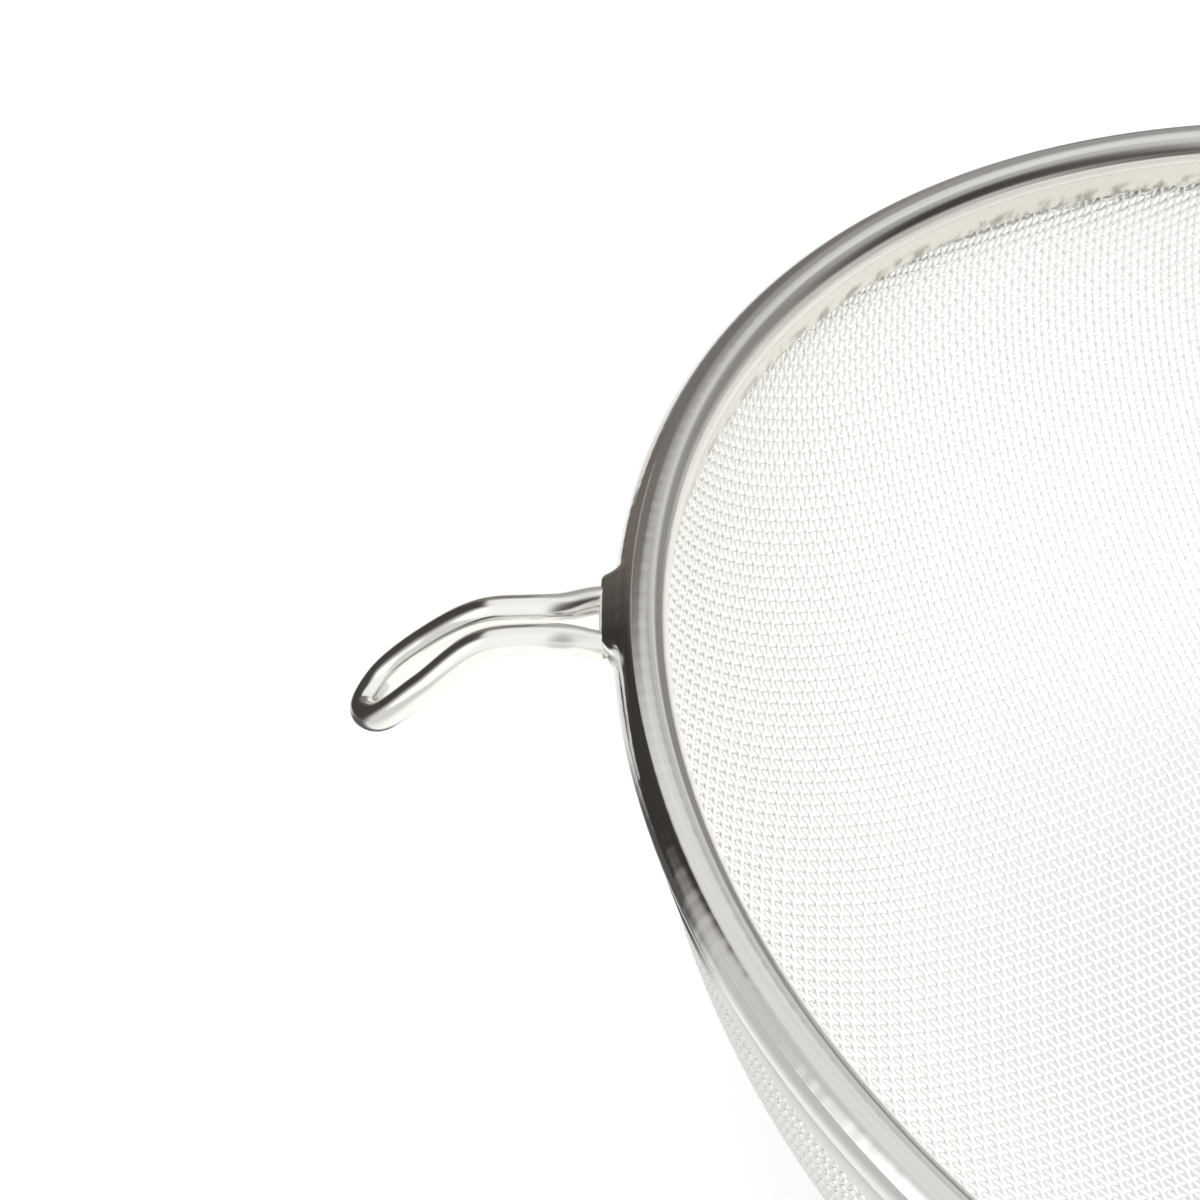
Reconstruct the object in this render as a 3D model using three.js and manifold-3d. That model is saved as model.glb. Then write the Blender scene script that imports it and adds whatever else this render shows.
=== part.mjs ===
// Round kitchen sieve: a wire bowl held in a rolled steel rim, with a bent wire rest hook
// on one side and a twin wire handle on the other. Millimetres, +Z up, +X towards the handle.
import * as THREE from 'three';
import { mergeVertices } from 'three/addons/utils/BufferGeometryUtils.js';
import Module from 'manifold-3d';

const wasm = await Module();
wasm.setup();

// Driving sizes of the rim and bowl
const rimRadius = 100;
const rimHeight = 66;
const clearance = 0.3;
const sheet = 0.6;
const rollRadius = 2.7;
const baseCut = 0.5;

// The rim band: a skirt outside the edge of the cloth, rolled over the top and down to the collar
const rollShift = 0.1;
const rollCentre = rimRadius + rollShift;
const rollStart = THREE.MathUtils.degToRad(-92);
const rollInnerStart = THREE.MathUtils.degToRad(-97);
const rollEnd = Math.PI;
const rollSteps = 10;
const skirtHeight = 6.2;
const rimSteps = 80;

// The hoop wire inside the roll
const hoopRadius = rollRadius - sheet - clearance;
const hoopSides = 8;
const wireLevel = rimHeight;

// The wire bowl, drawn coarser than the cloth: 16 gaps each way instead of about 200.
// The cloth measures clothStretch rim diameters along the bowl from rim to rim.
const gapsAcross = 16;
const ribWidth = 1.8;
const ribDepth = 1;
const bowlRadius = rimRadius - 1;
const bowlDepth = rimHeight + baseCut - ribDepth / 2;
const netTopDrop = 4;
const netSlope = Math.acos(netTopDrop / bowlDepth);
const borderTop = rimHeight - hoopRadius - clearance;
const clothStretch = 1.27;
const weaveTurn = THREE.MathUtils.degToRad(35);

// The collar under the roll, flush with it, which holds the edge of the cloth from inside
const collarRadius = rollCentre - rollRadius + sheet;
const collarTop = rimHeight - clearance;
const collarHeight = 2.9;

// The skirt of the rim band, outside the edge of the cloth
const skirtRadius = bowlRadius + ribDepth / 2 + clearance;

// The rest hook: legs splayed at the rim, a narrow neck and a loop that dips
const hookWire = 3;
const hookReach = 23;
const hookDrop = 13.4;
const hookSplay = 3.4;
const hookNeck = 2.05;
const hookLoop = 3.4;

// The handle: two rails that widen to a round hanging loop
const handleWire = 4;
const handleReach = 190;
const handleSplay = 6;
const handleLoop = 9;

// Both wires start just outside the hoop, inside swollen stretches of the rim.
// The swelling at the hook sits a little to one side of it.
const wireStart = rollCentre + hoopRadius + clearance;
const holeSides = 16;
const swellOut = 1.3;
const swellRamp = 1.5;
const swellShift = 2.5;
const swells = [
  { azimuth: Math.PI - swellShift / rimRadius, half: hookSplay + hookWire / 2 - clearance },
  { azimuth: 0, half: handleSplay + handleWire / 2 },
];

const steel = new THREE.MeshStandardMaterial({ color: 0xc9c8c4, roughness: 0.22, metalness: 1 });
const brushedSteel = new THREE.MeshStandardMaterial({ color: 0xb4b3b0, roughness: 0.35, metalness: 1 });
const clothSteel = new THREE.MeshStandardMaterial({ color: 0xdedad2, roughness: 0.4, metalness: 1 });

// Joins vertices that coincide, so that a boolean sees one closed surface.
function closedSurface(geometry) {
  const bare = geometry.clone();
  bare.deleteAttribute('normal');
  bare.deleteAttribute('uv');
  return mergeVertices(bare, 1e-4);
}

function toManifold(geometry) {
  const closed = closedSurface(geometry);
  return new wasm.Manifold(new wasm.Mesh({
    numProp: 3,
    vertProperties: new Float32Array(closed.attributes.position.array),
    triVerts: new Uint32Array(closed.index.array),
  }));
}

function toGeometry(manifold) {
  const mesh = manifold.getMesh();
  const geometry = new THREE.BufferGeometry();
  geometry.setAttribute('position', new THREE.BufferAttribute(mesh.vertProperties, 3));
  geometry.setIndex(new THREE.BufferAttribute(mesh.triVerts, 1));
  geometry.computeVertexNormals();
  return geometry;
}

function fromQuads(points, quads) {
  const geometry = new THREE.BufferGeometry().setFromPoints(points);
  geometry.setIndex(quads.flatMap(([a, b, c, d]) => [a, b, c, a, c, d]));
  geometry.computeVertexNormals();
  return geometry;
}

function cut(geometry, tools) {
  const remaining = tools.reduce((solid, tool) => solid.subtract(toManifold(tool)), toManifold(geometry));
  return toGeometry(remaining);
}

// A round wire along a curve
function wire(curve, diameter, steps, sides) {
  const section = new THREE.Shape().absarc(0, 0, diameter / 2, 0, 2 * Math.PI);
  return new THREE.ExtrudeGeometry(section, { steps, curveSegments: sides, extrudePath: curve });
}

// A closed section turned about the sieve's axis
function ring(profile, steps) {
  const outline = [...profile, profile[0].clone()];
  return new THREE.LatheGeometry(outline, steps).rotateX(Math.PI / 2);
}

// A point on the bowl, half of an oval about the middle of the rim. The square cloth is drawn into
// the round rim: s and t run from -1 to 1 along the two sets of wires, and every edge of that square
// comes to lie along the rim.
function bowlPoint(s, t, offset) {
  const across = s * Math.sqrt(1 - t * t / 2);
  const along = t * Math.sqrt(1 - s * s / 2);
  const azimuth = Math.atan2(along, across) + weaveTurn;
  const slope = Math.hypot(across, along) * netSlope;
  const radius = (bowlRadius + offset) * Math.sin(slope);
  const drop = (bowlDepth + offset) * Math.cos(slope);
  return new THREE.Vector3(
    radius * Math.cos(azimuth),
    radius * Math.sin(azimuth),
    rimHeight - drop,
  );
}

// The net of ribs with a plain upright border, as one closed body
function meshBowl() {
  const points = [];
  const quads = [];
  const addPair = (s, t) => {
    points.push(bowlPoint(s, t, -ribDepth / 2), bowlPoint(s, t, ribDepth / 2));
    return points.length - 2;
  };
  const line = (index) => 2 * index / gapsAcross - 1;
  const margin = ribWidth / (2 * bowlRadius * clothStretch);

  const knots = [];
  for (let i = 0; i <= gapsAcross; i += 1) {
    knots.push([]);
    for (let j = 0; j <= gapsAcross; j += 1) {
      knots[i].push(addPair(line(i), line(j)));
    }
  }
  for (let i = 0; i < gapsAcross; i += 1) {
    for (let j = 0; j < gapsAcross; j += 1) {
      const corners = [knots[i][j], knots[i + 1][j], knots[i + 1][j + 1], knots[i][j + 1]];
      const gap = [
        addPair(line(i) + margin, line(j) + margin),
        addPair(line(i + 1) - margin, line(j) + margin),
        addPair(line(i + 1) - margin, line(j + 1) - margin),
        addPair(line(i) + margin, line(j + 1) - margin),
      ];
      for (let k = 0; k < 4; k += 1) {
        const next = (k + 1) % 4;
        quads.push([corners[k], corners[next], gap[next], gap[k]]);
        quads.push([gap[k] + 1, gap[next] + 1, corners[next] + 1, corners[k] + 1]);
        quads.push([gap[k], gap[next], gap[next] + 1, gap[k] + 1]);
      }
    }
  }

  const last = gapsAcross;
  const steps = [...Array(last).keys()];
  const edge = [
    ...steps.map((m) => knots[m][0]),
    ...steps.map((m) => knots[last][m]),
    ...steps.map((m) => knots[last - m][last]),
    ...steps.map((m) => knots[0][last - m]),
  ];
  const top = edge.map((knot) => {
    points.push(points[knot].clone().setZ(borderTop), points[knot + 1].clone().setZ(borderTop));
    return points.length - 2;
  });
  edge.forEach((knot, m) => {
    const next = (m + 1) % edge.length;
    quads.push([edge[next], knot, top[m], top[next]]);
    quads.push([top[next], top[m], top[m] + 1, top[next] + 1]);
    quads.push([top[next] + 1, top[m] + 1, knot + 1, edge[next] + 1]);
  });

  const floor = new THREE.BoxGeometry(rimRadius, rimRadius, rimRadius).translate(0, 0, -rimRadius / 2);
  return cut(fromQuads(points, quads), [floor]);
}

// A plain strip with an eased top edge, standing just inside the edge of the cloth
function meshCollar() {
  const outside = collarRadius;
  const inside = collarRadius - sheet;
  const ease = sheet / 3;
  return ring([
    new THREE.Vector2(outside, collarTop - collarHeight),
    new THREE.Vector2(outside, collarTop - ease),
    new THREE.Vector2(outside - ease, collarTop),
    new THREE.Vector2(inside + ease, collarTop),
    new THREE.Vector2(inside, collarTop - ease),
    new THREE.Vector2(inside, collarTop - collarHeight),
  ], rimSteps);
}

// How far the rim is swollen at an azimuth: 0 on the plain rim, 1 where a wire goes in
function swellAt(azimuth, swell) {
  const turn = THREE.MathUtils.euclideanModulo(azimuth - swell.azimuth + Math.PI, 2 * Math.PI) - Math.PI;
  const past = Math.abs(turn) * rimRadius - swell.half;
  return 1 - THREE.MathUtils.smoothstep(past, 0, swellRamp);
}

// Azimuths round the rim, with extra ones at the ends of the swollen stretches
function rimAzimuths() {
  const azimuths = [...Array(rimSteps).keys()].map((i) => 2 * Math.PI * i / rimSteps);
  for (const swell of swells) {
    for (const past of [0, swellRamp / 2, swellRamp]) {
      const turn = (swell.half + past) / rimRadius;
      azimuths.push(swell.azimuth + turn);
      azimuths.push(THREE.MathUtils.euclideanModulo(swell.azimuth - turn, 2 * Math.PI));
    }
  }
  return azimuths.sort((a, b) => a - b);
}

// One section of the rim band, up its outside and then back down its inside
function rollSection(azimuth) {
  const section = [];
  const addPoint = (reach, height) => {
    section.push(new THREE.Vector3(reach * Math.cos(azimuth), reach * Math.sin(azimuth), height));
  };
  const addArc = (radius, from, to) => {
    for (let i = 0; i <= rollSteps; i += 1) {
      const angle = from + (to - from) * i / rollSteps;
      const outward = THREE.MathUtils.smoothstep(Math.cos(angle), 0.2, 0.9);
      const rise = radius * Math.sin(angle);
      let reach = rollCentre + radius * Math.cos(angle);
      for (const swell of swells) {
        reach += swellOut * swellAt(azimuth, swell) * outward;
      }
      addPoint(reach, wireLevel + rise);
    }
  };
  const skirtLow = rimHeight - skirtHeight;
  addPoint(skirtRadius + sheet, skirtLow);
  addArc(rollRadius, rollStart, rollEnd);
  addArc(rollRadius - sheet, rollEnd, rollInnerStart);
  addPoint(skirtRadius, skirtLow);
  return section;
}

// The rolled band, swollen where the wires go in, with a hole for each wire
function rimBand() {
  const sections = rimAzimuths().map(rollSection);
  const points = sections.flat();
  const size = sections[0].length;
  const quads = [];
  sections.forEach((section, i) => {
    const here = i * size;
    const there = ((i + 1) % sections.length) * size;
    for (let k = 0; k < size; k += 1) {
      const next = (k + 1) % size;
      quads.push([here + k, there + k, there + next, here + next]);
    }
  });
  const holes = [];
  for (const side of [-1, 1]) {
    holes.push(wireHole(-1, side * hookSplay, hookWire));
    holes.push(wireHole(1, side * handleSplay, handleWire));
  }
  return cut(fromQuads(points, quads), holes);
}

// The tool for one hole: a straight cylinder along X from inside the roll to outside the rim
function wireHole(direction, across, diameter) {
  const length = 3 * rollRadius;
  const radius = diameter / 2 + clearance;
  return new THREE.CylinderGeometry(radius, radius, length, holeSides)
    .rotateZ(Math.PI / 2)
    .translate(direction * (rollCentre + length / 2), across, wireLevel);
}

// The plain round hoop that the band is rolled over
function rimHoop() {
  const profile = [];
  for (let i = 0; i < hoopSides; i += 1) {
    const angle = 2 * Math.PI * i / hoopSides;
    profile.push(new THREE.Vector2(
      rollCentre + hoopRadius * Math.cos(angle),
      wireLevel + hoopRadius * Math.sin(angle),
    ));
  }
  return ring(profile, rimSteps);
}

// A hairpin of wire, from one leg round the loop to the other, mirrored about the XZ plane
function hairpin(leg, tip) {
  const far = leg.map(([x, y, z]) => new THREE.Vector3(x, -y, z)).reverse();
  const near = leg.map(([x, y, z]) => new THREE.Vector3(x, y, z));
  return new THREE.CatmullRomCurve3([...near, new THREE.Vector3(...tip), ...far]);
}

// The rest hook runs level out of the rim, then dips to its loop
function restHook() {
  const out = wireStart + hookReach;
  const leg = [
    [-wireStart, hookSplay, wireLevel],
    [-wireStart - 0.1 * hookReach, 0.9 * hookSplay, wireLevel],
    [-wireStart - 0.23 * hookReach, 1.08 * hookNeck, wireLevel],
    [-wireStart - 0.38 * hookReach, hookNeck, wireLevel - 0.02 * hookDrop],
    [-wireStart - 0.57 * hookReach, 1.1 * hookNeck, wireLevel - 0.12 * hookDrop],
    [-wireStart - 0.78 * hookReach, 0.94 * hookLoop, wireLevel - 0.52 * hookDrop],
    [-wireStart - 0.94 * hookReach, 0.8 * hookLoop, wireLevel - 0.88 * hookDrop],
  ];
  return wire(hairpin(leg, [-out, 0, wireLevel - hookDrop]), hookWire, 48, 6);
}

// The handle runs level, its rails widening to the hanging loop
function handleWireLoop() {
  const end = wireStart + handleReach;
  const bend = handleLoop * Math.SQRT1_2;
  const leg = [
    [wireStart, handleSplay, wireLevel],
    [wireStart + 0.12 * handleReach, handleSplay, wireLevel],
    [wireStart + 0.55 * handleReach, 0.6 * handleSplay + 0.4 * handleLoop, wireLevel],
    [end - handleLoop, handleLoop, wireLevel],
    [end - handleLoop + bend, bend, wireLevel],
  ];
  return wire(hairpin(leg, [end, 0, wireLevel]), handleWire, 56, 6);
}

const sieve = new THREE.Group();
sieve.name = 'sieve';

function add(name, geometry, material) {
  const mesh = new THREE.Mesh(geometry, material);
  mesh.name = name;
  sieve.add(mesh);
}

add('mesh_bowl', meshBowl(), clothSteel);
add('mesh_collar', meshCollar(), brushedSteel);
add('rim_band', rimBand(), brushedSteel);
add('rim_hoop', rimHoop(), steel);
add('rest_hook', restHook(), steel);
add('handle_wire', handleWireLoop(), steel);

export default sieve;
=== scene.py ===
# The kitchen sieve: woven wire bowl, rolled rim, rest hook and handle. Metres, in the part's frame.
import math

import bpy
import numpy as np
from mathutils import Matrix, Vector


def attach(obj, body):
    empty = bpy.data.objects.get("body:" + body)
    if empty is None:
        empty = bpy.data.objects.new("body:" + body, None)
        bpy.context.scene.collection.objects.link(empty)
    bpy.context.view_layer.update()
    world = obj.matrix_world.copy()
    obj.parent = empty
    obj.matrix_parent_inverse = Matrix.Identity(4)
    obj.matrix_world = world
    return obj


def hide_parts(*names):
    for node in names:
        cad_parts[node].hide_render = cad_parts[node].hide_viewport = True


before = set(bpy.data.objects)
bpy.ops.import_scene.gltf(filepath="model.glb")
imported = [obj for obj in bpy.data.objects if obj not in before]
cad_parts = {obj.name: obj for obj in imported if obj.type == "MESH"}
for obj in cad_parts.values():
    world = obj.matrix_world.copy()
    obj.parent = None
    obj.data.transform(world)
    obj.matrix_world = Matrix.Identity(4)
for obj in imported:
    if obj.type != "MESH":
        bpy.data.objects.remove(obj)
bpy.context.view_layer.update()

MM = 0.001

# Rim and bowl
RIM_RADIUS = 100 * MM
RIM_HEIGHT = 66 * MM
ROLL_CENTRE = RIM_RADIUS + 0.1 * MM
ROLL_RADIUS = 2.7 * MM
SHEET = 0.6 * MM
BOWL_RADIUS = RIM_RADIUS - 1 * MM
SKIRT_RADIUS = BOWL_RADIUS + 0.8 * MM
SKIRT_DROP = 6.2 * MM
COLLAR_RADIUS = BOWL_RADIUS - 1.0 * MM
COLLAR_TOP = RIM_HEIGHT - 0.01 * MM
COLLAR_DROP = 3.2 * MM
RIM_STEPS = 1600
COLLAR_STEPS = 720

# Faint unevenness of the roll, and the distance of a support loop from a sharp edge
RIPPLE = 0.007 * MM
ROLL_FLATS = 0.009 * MM
EDGE = 0.012 * MM

# Degrees round the roll, from its outermost line over the top to its inner end
ROLL_FOOT = -92
LINING_FOOT = -97
ROLL_END = 180
END_LOOP = ROLL_END - 0.2
ROLL_STEPS = 72
LINING_STEPS = 30

# Woven cloth
CLOTH_WIRE = 0.22 * MM
WARP_PITCH = 1.10 * MM
WEFT_PITCH = 1.32 * MM
WEAVE_TURN = math.radians(35)
CLOTH_SIDES = 5
CLOTH_PIECES = 4
CLOTH_TOP = RIM_HEIGHT - ROLL_RADIUS + 0.3 * MM
CLOTH_MARGIN = 1.25
BOWL_DEPTH = RIM_HEIGHT - 2 * CLOTH_WIRE
ARC_STEPS = 2000
SETTLE_ROUNDS = 12

# Rest hook and handle
HOOK_WIRE = 1.5 * MM
HOOK_REACH = 23 * MM
HOOK_DROP = 13.4 * MM
HOOK_SPLAY = 3.4 * MM
HOOK_NECK = 2.05 * MM
HOOK_LOOP = 3.4 * MM
HOOK_LEAN = (0, 2.4 * MM, -1.3 * MM)
HOOK_STEPS = 16
LEAN_LENGTH = 9 * MM
HANDLE_WIRE = 2 * MM
HANDLE_REACH = 190 * MM
HANDLE_SPLAY = 6 * MM
HANDLE_LOOP = 9 * MM
HANDLE_STEPS = 20
WIRE_START = ROLL_CENTRE + 2.1 * MM
WIRE_SIDES = 24

# Swollen stretches of the rim: azimuth, half length, and length of the fade at the end on the near side
SWELL_OUT = 1.3 * MM
SWELL_RAMP = 1.5 * MM
SWELL_SHIFT = 2.5 * MM
SWELLS = (
    (math.pi - SWELL_SHIFT / RIM_RADIUS, HOOK_SPLAY + HOOK_WIRE - 0.3 * MM, 3 * SWELL_RAMP),
    (0.0, HANDLE_SPLAY + HANDLE_WIRE, SWELL_RAMP),
)

# Stage
TABLE_HALF = 4.0
TABLE_GREY = 0.35
TABLE_SHINE = 0.68
SHADOW_SHINE = 0.4
TABLE_LIGHT = 0.8
CARD_PLACE = -190 * MM
CARD_FRONT = -25 * MM
CARD_MIDDLE = 150 * MM
CARD_BACK = 250 * MM
CARD_BOTTOM = 2 * MM
CARD_CORNER = 70 * MM
CARD_TOP = 170 * MM
KEY_PLACE = Vector((500 * MM, 350 * MM, 900 * MM))
KEY_AIM = Vector((0, 0, 50 * MM))
KEY_SIZE = 700 * MM
KEY_WATTS = 9

# Camera
CAMERA_PLACE = Vector((-135.5 * MM, -230.0 * MM, RIM_HEIGHT + 212.3 * MM))
CAMERA_AIM = Vector((-104.0 * MM, 4.2 * MM, RIM_HEIGHT))
CAMERA_ROLL = math.radians(11.2)
CAMERA_LENS = 99


# Geometry helpers

def mesh_object(name, points, quads, material):
    """A smooth mesh object from an array of points and an array of quads."""
    mesh = bpy.data.meshes.new(name)
    mesh.vertices.add(len(points))
    mesh.vertices.foreach_set("co", np.asarray(points, np.float32).ravel())
    mesh.loops.add(quads.size)
    mesh.loops.foreach_set("vertex_index", np.asarray(quads, np.int32).ravel())
    mesh.polygons.add(len(quads))
    mesh.polygons.foreach_set("loop_start", np.arange(0, quads.size, 4, dtype=np.int32))
    mesh.update(calc_edges=True)
    mesh.shade_smooth()
    mesh.materials.append(material)
    piece = bpy.data.objects.new(name, mesh)
    bpy.context.collection.objects.link(piece)
    return piece


def grid_quads(rows, columns, wrap_rows, wrap_columns):
    """Quads between neighbouring points of a grid of points."""
    row = np.arange(rows if wrap_rows else rows - 1)
    column = np.arange(columns if wrap_columns else columns - 1)
    i, j = np.meshgrid(row, column, indexing="ij")
    next_i = (i + 1) % rows
    next_j = (j + 1) % columns
    corners = (i * columns + j, next_i * columns + j, next_i * columns + next_j, i * columns + next_j)
    return np.stack([corner.ravel() for corner in corners], axis=1)


def full_turn(steps):
    return 2 * np.pi * np.arange(steps) / steps


def round_object(name, azimuth, reach, height, material):
    """A closed section carried round the axis. Its reach and height are given at each azimuth."""
    across = reach * np.cos(azimuth)[:, None]
    back = reach * np.sin(azimuth)[:, None]
    points = np.stack([across, back, height], axis=-1)
    quads = grid_quads(*reach.shape, True, True)
    return mesh_object(name, points.reshape(-1, 3), quads, material)


def unit(vectors):
    return vectors / np.linalg.norm(vectors, axis=-1, keepdims=True)


def smoothstep(value, low, high):
    t = np.clip((value - low) / (high - low), 0, 1)
    return t * t * (3 - 2 * t)


def wire_rings(path, normals, radius, sides):
    """Rings of points round each point of a path, starting from the given normals."""
    along = unit(np.gradient(path, axis=0))
    normal = unit(normals - (normals * along).sum(1, keepdims=True) * along)
    across = np.cross(along, normal)
    angle = full_turn(sides)[None, :, None]
    ring = np.cos(angle) * normal[:, None] + np.sin(angle) * across[:, None]
    return path[:, None] + radius * ring


def between(time, start, end, first, second):
    """The first point at the start time, the second at the end time, and in proportion for other times."""
    return ((end - time) * first + (time - start) * second) / (end - start)


def smooth_path(knots, per_span):
    """A centripetal curve through given points."""
    knots = np.asarray(knots, float)
    padded = np.vstack([2 * knots[0] - knots[1], knots, 2 * knots[-1] - knots[-2]])
    steps = np.sqrt(np.linalg.norm(np.diff(padded, axis=0), axis=1))
    times = np.concatenate([[0], np.cumsum(steps)])
    path = []
    for first in range(len(knots) - 1):
        t0, t1, t2, t3 = times[first:first + 4]
        before, start, end, after = padded[first:first + 4]
        time = np.linspace(t1, t2, per_span, endpoint=False)[:, None]
        middle = between(time, t1, t2, start, end)
        early = between(time, t0, t2, between(time, t0, t1, before, start), middle)
        late = between(time, t1, t3, middle, between(time, t2, t3, end, after))
        path.append(between(time, t1, t2, early, late))
    return np.vstack([*path, knots[-1:]])


# Node helpers

def add_node(tree, kind, **settings):
    node = tree.nodes.new(kind)
    for key, value in settings.items():
        setattr(node, key, value)
    return node


def feed(tree, socket, value):
    """Links a socket to another node's output, or sets it to a plain value."""
    if isinstance(value, bpy.types.NodeSocket):
        tree.links.new(value, socket)
    elif socket.type == "RGBA":
        socket.default_value = (*value, 1)
    else:
        socket.default_value = value


def feed_all(tree, node, values):
    for name, value in values.items():
        feed(tree, node.inputs[name], value)


def calculate(tree, operation, *values):
    node = add_node(tree, "ShaderNodeMath", operation=operation)
    for socket, value in zip(node.inputs, values):
        feed(tree, socket, value)
    return node.outputs[0]


def product(tree, first, *others):
    for other in others:
        first = calculate(tree, "MULTIPLY", first, other)
    return first


def ramp(tree, value, start, end, low=0, high=1):
    """Goes smoothly from low to high as the value goes from start to end."""
    node = add_node(tree, "ShaderNodeMapRange", interpolation_type="SMOOTHSTEP")
    feed_all(tree, node, {
        "Value": value,
        "From Min": start,
        "From Max": end,
        "To Min": low,
        "To Max": high,
    })
    return node.outputs["Result"]


def blend(tree, factor, first, second, data_type="FLOAT"):
    """The first value where the factor is 0 and the second where it is 1."""
    node = add_node(tree, "ShaderNodeMix", data_type=data_type)
    feed_all(tree, node, {"Factor": factor, "A": first, "B": second})
    return node.outputs["Result"]


def blend_colours(tree, factor, first, second):
    return blend(tree, factor, first, second, "RGBA")


def choose_shader(tree, is_ray, otherwise, for_ray):
    """One shader for rays of a kind and another for all other rays."""
    node = add_node(tree, "ShaderNodeMixShader")
    feed(tree, node.inputs[0], is_ray)
    feed(tree, node.inputs[1], otherwise.outputs[0])
    feed(tree, node.inputs[2], for_ray.outputs[0])
    return node.outputs[0]


def split(tree, vector):
    node = add_node(tree, "ShaderNodeSeparateXYZ")
    feed(tree, node.inputs[0], vector)
    return tuple(node.outputs)


def place(tree):
    return add_node(tree, "ShaderNodeTexCoord").outputs["Object"]


def round_place(tree):
    """Coordinates that follow the rim: length round it, distance from its axis and height."""
    x, y, z = split(tree, place(tree))
    turn = calculate(tree, "ARCTAN2", y, x)
    squares = calculate(tree, "ADD", product(tree, x, x), product(tree, y, y))
    joined = add_node(tree, "ShaderNodeCombineXYZ")
    feed_all(tree, joined, {
        "X": product(tree, turn, RIM_RADIUS),
        "Y": calculate(tree, "SQRT", squares),
        "Z": z,
    })
    return joined.outputs[0]


def bump(tree, shader, height, strength, distance):
    node = add_node(tree, "ShaderNodeBump")
    feed_all(tree, node, {"Height": height, "Strength": strength, "Distance": distance})
    feed(tree, shader.inputs["Normal"], node.outputs["Normal"])


def new_material(name):
    material = bpy.data.materials.new(name)
    material.use_nodes = True
    tree = material.node_tree
    return material, tree, tree.nodes["Principled BSDF"]


# Steel

def build_grain_group():
    """The grain that all the steel shares: a noise, and a colour and a roughness that follow it."""
    group = bpy.data.node_groups.new("steel_grain", "ShaderNodeTree")
    sockets = (
        ("INPUT", "Place", "NodeSocketVector"),
        ("INPUT", "Stretch", "NodeSocketVector"),
        ("INPUT", "Scale", "NodeSocketFloat"),
        ("INPUT", "Detail", "NodeSocketFloat"),
        ("INPUT", "Dark", "NodeSocketColor"),
        ("INPUT", "Light", "NodeSocketColor"),
        ("INPUT", "Smooth", "NodeSocketFloat"),
        ("INPUT", "Rough", "NodeSocketFloat"),
        ("OUTPUT", "Grain", "NodeSocketFloat"),
        ("OUTPUT", "Colour", "NodeSocketColor"),
        ("OUTPUT", "Roughness", "NodeSocketFloat"),
    )
    for side, name, kind in sockets:
        group.interface.new_socket(name, in_out=side, socket_type=kind)
    given = add_node(group, "NodeGroupInput").outputs
    stretched = add_node(group, "ShaderNodeMapping")
    feed_all(group, stretched, {"Vector": given["Place"], "Scale": given["Stretch"]})
    noise = add_node(group, "ShaderNodeTexNoise")
    feed_all(group, noise, {
        "Vector": stretched.outputs[0],
        "Scale": given["Scale"],
        "Detail": given["Detail"],
    })
    grain = noise.outputs["Fac"]
    feed_all(group, add_node(group, "NodeGroupOutput"), {
        "Grain": grain,
        "Colour": blend_colours(group, grain, given["Dark"], given["Light"]),
        "Roughness": blend(group, grain, given["Smooth"], given["Rough"]),
    })
    return group


GRAIN_GROUP = build_grain_group()


def steel_grain(tree, where, scale, detail, stretch=(1, 1, 1), colours=None, roughness=None):
    """Places the shared grain in a material with its own values, and gives its outputs."""
    node = add_node(tree, "ShaderNodeGroup", node_tree=GRAIN_GROUP)
    feed_all(tree, node, {"Place": where, "Stretch": stretch, "Scale": scale, "Detail": detail})
    if colours:
        feed_all(tree, node, dict(zip(("Dark", "Light"), colours)))
    if roughness:
        feed_all(tree, node, dict(zip(("Smooth", "Rough"), roughness)))
    return node.outputs


def rim_steel():
    """Rolled sheet: drawing lines along the rim, fainter marks across it, and painted light on its inner
    side, which is coloured lighter and creamier.
    """
    material, tree, shader = new_material("rim_steel")
    follow = round_place(tree)
    lines = steel_grain(
        tree, follow, scale=5000, detail=3,
        stretch=(0.01, 1, 1),
        colours=((0.70, 0.69, 0.675), (0.86, 0.85, 0.84)),
        roughness=(0.05, 0.16),
    )
    marks = steel_grain(tree, follow, scale=900, detail=2, stretch=(1, 0.05, 0.05))
    from_axis = split(tree, follow)[1]
    # Painted light: the inner side of the roll gets a lighter, creamier colour than its outside.
    painted_light_inner = ramp(tree, from_axis, RIM_RADIUS - 1.5 * MM, RIM_RADIUS - 2.0 * MM)
    height = calculate(tree, "ADD", lines["Grain"], product(tree, marks["Grain"], 0.7))
    feed_all(tree, shader, {
        "Metallic": 1,
        "Base Color": blend_colours(tree, painted_light_inner, lines["Colour"], (0.92, 0.90, 0.865)),
        "Roughness": lines["Roughness"],
    })
    bump(tree, shader, height, strength=0.25, distance=0.02 * MM)
    return material


def collar_steel():
    """Satin strip with a soft grain and darker blotches along its lower edge."""
    material, tree, shader = new_material("collar_steel")
    follow = round_place(tree)
    satin = steel_grain(tree, follow, scale=1500, detail=3, stretch=(1, 1, 0.1), roughness=(0.2, 0.32))
    cloudy = steel_grain(tree, follow, scale=380, detail=2)
    blotches = ramp(tree, cloudy["Grain"], 0.42, 0.62)
    level = split(tree, follow)[2]
    low = ramp(tree, level, RIM_HEIGHT - 1.2 * MM, RIM_HEIGHT - 2.6 * MM)
    # Darker blotches in the colour, only towards the lower edge.
    darkening = product(tree, blotches, low)
    feed_all(tree, shader, {
        "Metallic": 1,
        "Base Color": blend_colours(tree, darkening, (0.84, 0.82, 0.76), (0.46, 0.43, 0.37)),
        "Roughness": satin["Roughness"],
    })
    bump(tree, shader, satin["Grain"], strength=0.2, distance=0.02 * MM)
    return material


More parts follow.
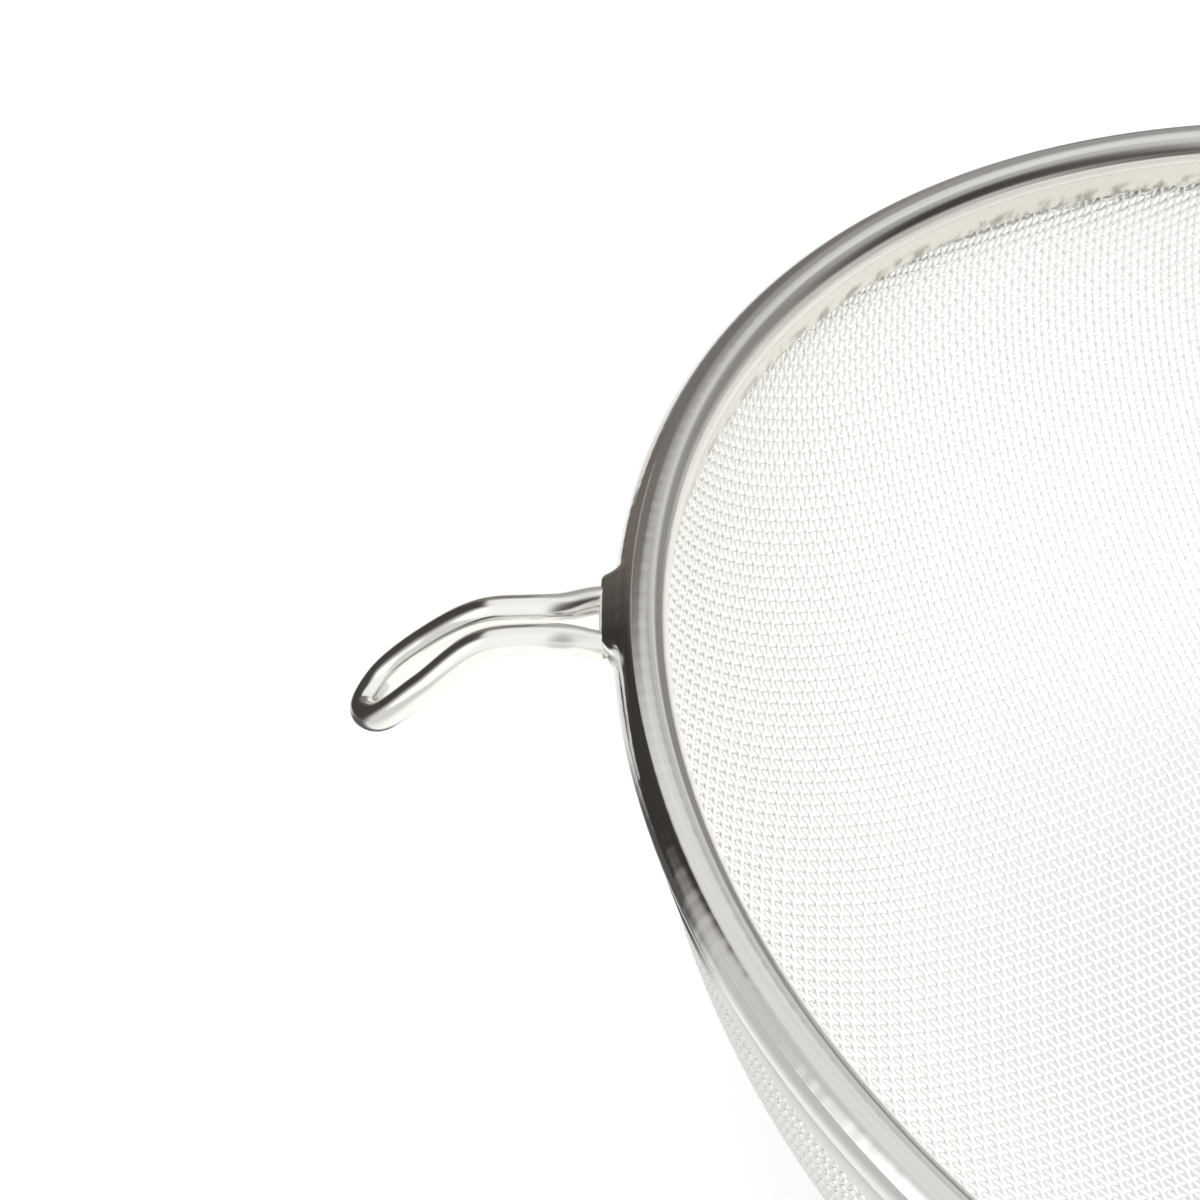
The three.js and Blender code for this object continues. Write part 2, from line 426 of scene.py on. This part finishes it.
def cloth_steel():
    """Bright drawn wire, matt enough to spread the light, with painted shade where it lies on a crossing
    wire and on the wall by the hook.
    """
    material, tree, shader = new_material("cloth_steel")
    where = place(tree)
    x, y, _ = split(tree, where)
    fine = steel_grain(tree, where, scale=4000, detail=2, roughness=(0.3, 0.4))
    patches = steel_grain(
        tree, where, scale=90, detail=2,
        colours=((0.95, 0.94, 0.92), (0.98, 0.975, 0.96)),
    )
    at_crossing = add_node(tree, "ShaderNodeAttribute", attribute_name="crossing").outputs["Fac"]
    # The painted crossing shade is faint near the middle of the bowl and strongest towards the left and
    # right walls.
    on_left = ramp(tree, x, -10 * MM, -90 * MM, 0.16, 1)
    on_right = ramp(tree, x, -10 * MM, 50 * MM, 0.16, 1)
    painted_crossing_shade = product(tree, ramp(tree, at_crossing, 0.15, 1), calculate(tree, "MAXIMUM", on_left, on_right))
    # Painted shade on the wall below the hook.
    painted_hook_wall_shade = product(tree, ramp(tree, x, -50 * MM, -90 * MM, 0, 0.6), ramp(tree, y, -60 * MM, -30 * MM))
    # Painted shade: at the crossings and on the wall by the hook, together.
    darkening = calculate(tree, "MAXIMUM", painted_crossing_shade, painted_hook_wall_shade)
    feed_all(tree, shader, {
        "Metallic": 0.08,
        "Base Color": blend_colours(tree, darkening, patches["Colour"], (0.83, 0.82, 0.79)),
        "Roughness": fine["Roughness"],
    })
    bump(tree, shader, fine["Grain"], strength=0.15, distance=0.01 * MM)
    return material


def wire_steel(name, lengthwise):
    """Polished wire with fine lines along it and a few rubbed patches."""
    material, tree, shader = new_material(name)
    where = place(tree)
    lines = steel_grain(tree, where, scale=3000, detail=3, stretch=lengthwise)
    patches = steel_grain(
        tree, where, scale=150, detail=2,
        colours=((0.94, 0.93, 0.90), (0.98, 0.97, 0.945)),
        roughness=(0.12, 0.22),
    )
    feed_all(tree, shader, {
        "Metallic": 1,
        "Base Color": patches["Colour"],
        "Roughness": patches["Roughness"],
    })
    bump(tree, shader, lines["Grain"], strength=0.12, distance=0.01 * MM)
    return material


# Woven cloth

def settle(points):
    """Moves points onto the bowl: an oval bowl below the middle of the rim and an upright wall above it."""
    height = points[..., 2] - RIM_HEIGHT
    depth = np.where(height < 0, height / BOWL_DEPTH, 0)
    reach = np.hypot(points[..., 0], points[..., 1]) / BOWL_RADIUS
    factor = 1 / np.hypot(reach, depth)
    settled = points * factor[..., None]
    settled[..., 2] = RIM_HEIGHT + np.where(height < 0, height * factor, height)
    return settled


def bowl_normals(points):
    height = np.minimum(points[..., 2] - RIM_HEIGHT, 0)
    slope = points / BOWL_RADIUS**2
    slope[..., 2] = height / BOWL_DEPTH**2
    return unit(slope)


def middle_wire(pitch, count):
    """Distance from the axis and height of evenly spaced points from the bottom to the rim."""
    angle = np.linspace(0, np.pi / 2, ARC_STEPS)
    reach = BOWL_RADIUS * np.sin(angle)
    height = -BOWL_DEPTH * np.cos(angle)
    arc = np.concatenate([[0], np.cumsum(np.hypot(np.diff(reach), np.diff(height)))])
    length = pitch * np.arange(count)
    climb = np.maximum(length - arc[-1], 0)
    return np.interp(length, arc, reach), RIM_HEIGHT + np.interp(length, arc, height) + climb


def draped_quarter(columns, rows):
    """Crossings of a quarter of the cloth: every mesh keeps its side lengths as the cloth shears."""
    points = np.zeros((columns, rows, 3))
    points[:, 0, 0], points[:, 0, 2] = middle_wire(WARP_PITCH, columns)
    points[0, :, 1], points[0, :, 2] = middle_wire(WEFT_PITCH, rows)
    for diagonal in range(2, columns + rows - 1):
        i = np.arange(max(1, diagonal - rows + 1), min(columns, diagonal))
        j = diagonal - i
        beside, below = points[i - 1, j], points[i, j - 1]
        guess = settle(beside + below - points[i - 1, j - 1])
        for _ in range(SETTLE_ROUNDS):
            from_beside = beside + WARP_PITCH * unit(guess - beside)
            from_below = below + WEFT_PITCH * unit(guess - below)
            guess = settle((from_beside + from_below) / 2)
        points[i, j] = guess
    return points


def draped_cloth():
    """All crossings, with the middle wires through the bottom of the bowl."""
    arc = 0.5 * math.pi * math.hypot(BOWL_RADIUS, BOWL_DEPTH) / math.sqrt(2)
    columns = int(CLOTH_MARGIN * arc / WARP_PITCH)
    rows = int(CLOTH_MARGIN * arc / WEFT_PITCH)
    quarter = draped_quarter(columns, rows)
    half = np.concatenate([quarter[:0:-1] * (-1, 1, 1), quarter])
    whole = np.concatenate([half[:, :0:-1] * (1, -1, 1), half], axis=1)
    cos, sin = math.cos(WEAVE_TURN), math.sin(WEAVE_TURN)
    return whole @ np.array([[cos, sin, 0], [-sin, cos, 0], [0, 0, 1]])


def woven_wire(crossings, lift):
    """The rings of one wire, over and under the wires it crosses. Every second ring lies at a crossing."""
    normals = bowl_normals(crossings)
    between = (crossings[:-1] + crossings[1:]) / 2
    path = np.empty((2 * len(crossings) - 1, 3))
    path[0::2] = crossings + CLOTH_WIRE * lift[:, None] * normals
    path[1::2] = between
    facing = np.empty_like(path)
    facing[0::2] = normals
    facing[1::2] = bowl_normals(between)
    return wire_rings(path, facing, CLOTH_WIRE, CLOTH_SIDES)


def cloth_wires(crossings, parity):
    """Rings of every wire along the second index of the crossings, as far as the cloth reaches."""
    wires = []
    for line, wire in enumerate(crossings):
        inside = wire[:, 2] < CLOTH_TOP
        if inside.sum() < 3:
            continue
        lift = 1 - 2.0 * ((np.arange(len(wire)) + line + parity) % 2)
        wires.append(woven_wire(wire[inside], lift[inside]))
    return wires


def join_wires(name, wires, material):
    """One piece from many wires. Its crossing values mark where each wire lies on another."""
    points, quads, crossing = [], [], []
    start = 0
    for rings in wires:
        points.append(rings.reshape(-1, 3))
        quads.append(grid_quads(len(rings), CLOTH_SIDES, False, True) + start)
        crossing.append(np.repeat(1 - np.arange(len(rings)) % 2, CLOTH_SIDES))
        start += len(rings) * CLOTH_SIDES
    piece = mesh_object(name, np.concatenate(points), np.concatenate(quads), material)
    # The cloth material paints shade at the crossings from these values.
    values = piece.data.attributes.new("crossing", "FLOAT", "POINT").data
    values.foreach_set("value", np.concatenate(crossing).astype(np.float32))
    return piece


def build_cloth(material):
    crossings = draped_cloth()
    families = {
        "cloth_warp": cloth_wires(crossings, 0),
        "cloth_weft": cloth_wires(crossings.transpose(1, 0, 2), 1),
    }
    pieces = []
    for family, wires in families.items():
        for part in range(CLOTH_PIECES):
            first = part * len(wires) // CLOTH_PIECES
            last = (part + 1) * len(wires) // CLOTH_PIECES
            pieces.append(join_wires(f"{family}_{part + 1}", wires[first:last], material))
    return pieces


# Rim

def swell_at(azimuth, swell):
    """How fully a swollen stretch has risen at an azimuth, from 0 to 1."""
    middle, half, near_fade = swell
    along = ((azimuth - middle + np.pi) % (2 * np.pi) - np.pi) * RIM_RADIUS
    fade = np.where(along > 0, near_fade, SWELL_RAMP)
    end = half + (fade + SWELL_RAMP) / 2
    return 1 - smoothstep(np.abs(along), end - fade, end)


def apron(angle):
    """How far the sheet stands off the roll where it is stretched straight over the ends of a wire."""
    leave = math.radians(50)
    straight = (1 - np.sin(angle) * math.sin(leave)) / math.cos(leave) - np.cos(angle)
    out = np.clip(ROLL_RADIUS * straight, 0, SWELL_OUT)
    return out * (angle < leave) * smoothstep(angle, math.radians(-50), math.radians(-15))


def rim_section():
    """Angles round the roll and radii of the sheet: its outside, with faint flats, then its inside."""
    outside = np.radians([*np.linspace(ROLL_FOOT, END_LOOP, ROLL_STEPS), ROLL_END])
    inside = np.radians([ROLL_END, *np.linspace(END_LOOP, LINING_FOOT, LINING_STEPS)])
    flats = ROLL_FLATS * (np.cos(13 * outside + 0.6) + 0.7 * np.cos(22 * outside + 1.9))
    angle = np.concatenate([outside, inside])
    radius = np.concatenate([ROLL_RADIUS + flats, np.full(len(inside), ROLL_RADIUS - SHEET)])
    return angle, radius


def roll_ripples(azimuth, angle):
    """Faint waves across the outer side of the roll, stronger in some stretches than in others."""
    stretch = 0.5 - 0.5 * np.sin(5 * azimuth + 2.2) * np.sin(3 * azimuth + 0.5)
    coarse = np.sin(260 * azimuth + 2 * np.sin(17 * azimuth))
    fine = np.sin(411 * azimuth + 3 * np.sin(11 * azimuth))
    outer = np.clip(np.cos(angle - math.radians(35)), 0, 1)
    return RIPPLE * (stretch * (coarse + 0.7 * fine))[:, None] * outer


def build_rim_band(material):
    """The sheet from the foot of its skirt up, over the hoop to the collar, and back along its inside."""
    azimuth = full_turn(RIM_STEPS)
    angle, radius = rim_section()
    radius = radius + roll_ripples(azimuth, angle)
    reach = ROLL_CENTRE + radius * np.cos(angle)
    rise = radius * np.sin(angle)
    for swell in SWELLS:
        reach = reach + swell_at(azimuth, swell)[:, None] * apron(angle)
    outer_skirt = (-SKIRT_DROP, EDGE - SKIRT_DROP, -ROLL_RADIUS - SHEET)
    inner_skirt = (EDGE - SKIRT_DROP, -SKIRT_DROP)
    rows = (RIM_STEPS, 1)
    reach = np.hstack([
        np.full((RIM_STEPS, len(outer_skirt)), SKIRT_RADIUS + SHEET),
        reach,
        np.full((RIM_STEPS, len(inner_skirt)), SKIRT_RADIUS),
    ])
    rise = np.hstack([np.tile(outer_skirt, rows), rise, np.tile(inner_skirt, rows)])
    return round_object("rim_roll", azimuth, reach, RIM_HEIGHT + rise, material)


def build_collar(material):
    """The strip inside the edge of the cloth, close under the end of the roll."""
    low = RIM_HEIGHT - COLLAR_DROP
    side = [low, low + EDGE, COLLAR_TOP - EDGE, COLLAR_TOP]
    rows = (COLLAR_STEPS, 1)
    height = np.tile([*side, *reversed(side)], rows)
    reach = np.tile([COLLAR_RADIUS] * len(side) + [COLLAR_RADIUS - SHEET] * len(side), rows)
    return round_object("collar_strip", full_turn(COLLAR_STEPS), reach, height, material)


# Hook and handle

def narrowing(path):
    """Thins a wire to a blunt end where it runs in under a swollen stretch of the rim."""
    from_rim = np.abs(path[:, 0]) - WIRE_START
    azimuth = np.arctan2(path[:, 1], path[:, 0])
    covered = sum(swell_at(azimuth, swell) for swell in SWELLS)
    return 1 - covered * (1 - smoothstep(from_rim, -0.5 * MM, 1.6 * MM))


def hairpin(name, leg, tip, radius, per_span, material, lean=(0, 0, 0)):
    """A wire down one leg, round the tip and back up the mirrored leg. Its ends may lean near the rim."""
    mirrored = [(x, -y, z) for x, y, z in reversed(leg)]
    path = smooth_path([*leg, tip, *mirrored], per_span)
    at_rim = 1 - smoothstep(np.abs(path[:, 0]) - WIRE_START, 0, LEAN_LENGTH)
    path = path + at_rim[:, None] * np.array(lean)
    along = unit(np.gradient(path, axis=0))
    normals = np.zeros_like(path)
    normals[0] = (0, 0, 1)
    for k in range(1, len(path)):
        normals[k] = normals[k - 1] - (normals[k - 1] @ along[k]) * along[k]
    rings = wire_rings(path, normals, radius * narrowing(path)[:, None, None], WIRE_SIDES)
    quads = grid_quads(len(rings), WIRE_SIDES, False, True)
    return mesh_object(name, rings.reshape(-1, 3), quads, material)


def build_hook(material):
    """Two legs that draw together to a neck, and a loop that dips."""
    leg = [
        (-WIRE_START, HOOK_SPLAY, RIM_HEIGHT),
        (-WIRE_START - 0.1 * HOOK_REACH, 0.9 * HOOK_SPLAY, RIM_HEIGHT),
        (-WIRE_START - 0.23 * HOOK_REACH, 1.08 * HOOK_NECK, RIM_HEIGHT),
        (-WIRE_START - 0.38 * HOOK_REACH, HOOK_NECK, RIM_HEIGHT - 0.02 * HOOK_DROP),
        (-WIRE_START - 0.57 * HOOK_REACH, 1.1 * HOOK_NECK, RIM_HEIGHT - 0.12 * HOOK_DROP),
        (-WIRE_START - 0.78 * HOOK_REACH, 0.94 * HOOK_LOOP, RIM_HEIGHT - 0.52 * HOOK_DROP),
        (-WIRE_START - 0.94 * HOOK_REACH, 0.8 * HOOK_LOOP, RIM_HEIGHT - 0.88 * HOOK_DROP),
    ]
    tip = (-WIRE_START - HOOK_REACH, 0, RIM_HEIGHT - HOOK_DROP)
    return hairpin("hook_loop", leg, tip, HOOK_WIRE, HOOK_STEPS, material, HOOK_LEAN)


def build_handle(material):
    """Two rails that widen to a round loop."""
    end = WIRE_START + HANDLE_REACH
    bend = HANDLE_LOOP * math.sqrt(0.5)
    leg = [
        (WIRE_START, HANDLE_SPLAY, RIM_HEIGHT),
        (WIRE_START + 0.12 * HANDLE_REACH, HANDLE_SPLAY, RIM_HEIGHT),
        (WIRE_START + 0.55 * HANDLE_REACH, 0.6 * HANDLE_SPLAY + 0.4 * HANDLE_LOOP, RIM_HEIGHT),
        (end - HANDLE_LOOP, HANDLE_LOOP, RIM_HEIGHT),
        (end - HANDLE_LOOP + bend, bend, RIM_HEIGHT),
    ]
    tip = (end, 0, RIM_HEIGHT)
    return hairpin("handle_rails", leg, tip, HANDLE_WIRE, HANDLE_STEPS, material)


# Stage

def shining_material(name):
    """A material that shines by itself and mirrors nothing."""
    material, tree, shader = new_material(name)
    feed_all(tree, shader, {
        "Base Color": (0, 0, 0),
        "Roughness": 1,
        "Specular IOR Level": 0,
        "Emission Color": (1, 1, 1),
    })
    return material, tree, shader


def mirrored_table(tree, x, y):
    """Brightness of the mirrored table: duller far off and by the handle, dark in a strip by the hook."""
    left_front = ramp(tree, x, -200 * MM, -110 * MM, 0.66, 1.05)
    left_back = ramp(tree, x, -210 * MM, -130 * MM, 0.85, 1.03)
    near = blend(tree, ramp(tree, y, 30 * MM, 90 * MM), left_front, left_back)
    far = ramp(tree, y, 300 * MM, 600 * MM, 1, 0.35)
    by_handle = ramp(tree, x, 50 * MM, 150 * MM, 1, 0.62)
    strip = product(
        tree,
        ramp(tree, y, -12 * MM, 6 * MM),
        ramp(tree, y, 28 * MM, 55 * MM, 1, 0),
        ramp(tree, x, -100 * MM, -115 * MM, 0, 0.95),
        ramp(tree, x, CARD_PLACE - 10 * MM, CARD_PLACE + 5 * MM),
    )
    return blend(tree, strip, product(tree, near, far, by_handle), 0.06)


def build_table():
    """A table that is white to the camera. It shines less under the bowl, where the shadow then shows."""
    material, tree, shader = shining_material("white_table")
    where = place(tree)
    x, y, _ = split(tree, where)
    length = add_node(tree, "ShaderNodeVectorMath", operation="LENGTH")
    feed(tree, length.inputs[0], where)
    from_bowl = length.outputs["Value"]
    feed_all(tree, shader, {
        "Base Color": [TABLE_GREY] * 3,
        "Emission Strength": ramp(tree, from_bowl, 30 * MM, 100 * MM, SHADOW_SHINE, TABLE_SHINE),
    })
    rays = add_node(tree, "ShaderNodeLightPath").outputs
    level = blend(tree, rays["Is Diffuse Ray"], mirrored_table(tree, x, y), TABLE_LIGHT)
    mirrored = add_node(tree, "ShaderNodeEmission")
    feed_all(tree, mirrored, {"Color": (1, 1, 0.97), "Strength": level})
    surface = choose_shader(tree, rays["Is Camera Ray"], mirrored, shader)
    feed(tree, tree.nodes["Material Output"].inputs["Surface"], surface)
    half = TABLE_HALF
    corners = np.array([(-half, -half, 0), (half, -half, 0), (half, half, 0), (-half, half, 0)])
    table = mesh_object("white_table", corners, np.array([[0, 1, 2, 3]]), material)


def build_dark_card():
    """A dark card with soft edges behind the hook, which shows only where the steel mirrors it."""
    material, tree, shader = shining_material("dark_card")
    _, y, z = split(tree, place(tree))
    middle = ramp(tree, y, 85 * MM, 150 * MM, 0.045, 0.19)
    top_edge = ramp(tree, z, CARD_TOP - 22 * MM, CARD_TOP)
    front_edge = ramp(tree, y, 12 * MM, CARD_FRONT)
    feed_all(tree, shader, {
        "Emission Color": blend_colours(tree, front_edge, (1, 0.87, 0.77), (1, 1, 0.98)),
        "Emission Strength": blend(tree, front_edge, blend(tree, top_edge, middle, 0.62), 0.7),
    })
    outline = (
        (CARD_FRONT, CARD_BOTTOM),
        (CARD_MIDDLE, CARD_BOTTOM),
        (CARD_BACK, CARD_CORNER),
        (CARD_BACK, CARD_TOP),
        (CARD_MIDDLE, CARD_TOP),
        (CARD_FRONT, CARD_TOP),
    )
    corners = np.array([(CARD_PLACE, y, z) for y, z in outline])
    card = mesh_object("dark_card", corners, np.array([[0, 1, 4, 5], [1, 2, 3, 4]]), material)
    card.visible_camera = False
    card.visible_diffuse = False
    card.visible_shadow = False


def room_level(tree):
    """Brightness of the mirrored room by direction: dim low down at the back, dark at the right."""
    x, y, z = split(tree, add_node(tree, "ShaderNodeTexCoord").outputs["Generated"])
    overhead = ramp(tree, z, 0.52, 0.75, 0.57, 0.88)
    sides = blend(tree, ramp(tree, x, -0.45, -0.7), overhead, 0.69)
    front_level = ramp(tree, x, -0.5, -0.8, 0.95, 1.4)
    front = blend(tree, ramp(tree, y, 0.02, -0.3), sides, front_level)
    wall_low = ramp(tree, x, -0.12, 0.14, 0.21, 0.4)
    wall_left = blend(tree, ramp(tree, z, 0.61, 0.75), wall_low, 0.88)
    wall_right = ramp(tree, z, 0.25, 0.55, 0.33, 0.85)
    wall = blend(tree, ramp(tree, x, 0.2, 0.46), wall_left, wall_right)
    round_about = blend(tree, ramp(tree, y, 0.61, 0.78), front, wall)
    right_back = ramp(tree, x, 0.54, 0.74, 1, 0.55)
    right_front = ramp(tree, x, 0.4, 0.8, 1, 0.1)
    right = blend(tree, ramp(tree, y, 0.42, 0.08), right_back, right_front)
    return product(tree, round_about, blend(tree, ramp(tree, z, 0, 0.36), 1, right))


def build_world():
    """White all round, and the room for mirrored rays."""
    world = bpy.data.worlds.new("room")
    bpy.context.scene.world = world
    world.use_nodes = True
    tree = world.node_tree
    tree.nodes.clear()
    level = room_level(tree)
    room_colour = blend_colours(tree, ramp(tree, level, 0.2, 0.6), (1, 0.91, 0.86), (0.99, 1, 0.985))
    room = add_node(tree, "ShaderNodeBackground")
    feed_all(tree, room, {"Color": room_colour, "Strength": level})
    plain = add_node(tree, "ShaderNodeBackground")
    feed_all(tree, plain, {"Color": (1, 1, 1), "Strength": 1})
    rays = add_node(tree, "ShaderNodeLightPath").outputs
    surface = choose_shader(tree, rays["Is Glossy Ray"], plain, room)
    feed(tree, add_node(tree, "ShaderNodeOutputWorld").inputs["Surface"], surface)


def look_from(place_at, aim):
    """The turn that points a camera or a lamp from its place at its aim."""
    return (aim - place_at).to_track_quat("-Z", "Y").to_matrix().to_4x4()


def build_key_light():
    """A large soft lamp, high up behind the handle. The steel doesn't mirror it."""
    data = bpy.data.lights.new("key", "AREA")
    data.shape = "DISK"
    data.size = KEY_SIZE
    data.energy = KEY_WATTS
    lamp = bpy.data.objects.new("key", data)
    lamp.visible_glossy = False
    lamp.matrix_world = Matrix.Translation(KEY_PLACE) @ look_from(KEY_PLACE, KEY_AIM)
    bpy.context.collection.objects.link(lamp)


def build_camera():
    data = bpy.data.cameras.new("camera")
    data.lens = CAMERA_LENS
    camera = bpy.data.objects.new("camera", data)
    roll = Matrix.Rotation(CAMERA_ROLL, 4, "Z")
    camera.matrix_world = Matrix.Translation(CAMERA_PLACE) @ look_from(CAMERA_PLACE, CAMERA_AIM) @ roll
    bpy.context.collection.objects.link(camera)
    bpy.context.scene.camera = camera


# Assembly

def dress():
    """Rides every piece on the one body, in place of its solid. The hoop stays the solid itself."""
    for piece in build_cloth(cloth_steel()):
        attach(piece, "root")
        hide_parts("mesh_bowl")
    hook_steel = wire_steel("hook_steel", (0.1, 1, 1))
    handle_steel = wire_steel("handle_steel", (0.1, 1, 1))
    dressed = (
        (build_rim_band(rim_steel()), "rim_band", "rim_steel"),
        (build_collar(collar_steel()), "mesh_collar", "collar_steel"),
        (build_hook(hook_steel), "rest_hook", "hook_wire"),
        (build_handle(handle_steel), "handle_wire", "handle_wire"),
    )
    for piece, node, slot in dressed:
        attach(piece, "root")
        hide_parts(node)
    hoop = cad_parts["rim_hoop"]
    hoop.data.materials.clear()
    hoop.data.materials.append(wire_steel("hoop_steel", (1, 1, 0.1)))


bpy.context.scene.view_settings.view_transform = "Standard"
dress()
build_table()
build_dark_card()
build_world()
build_key_light()
build_camera()
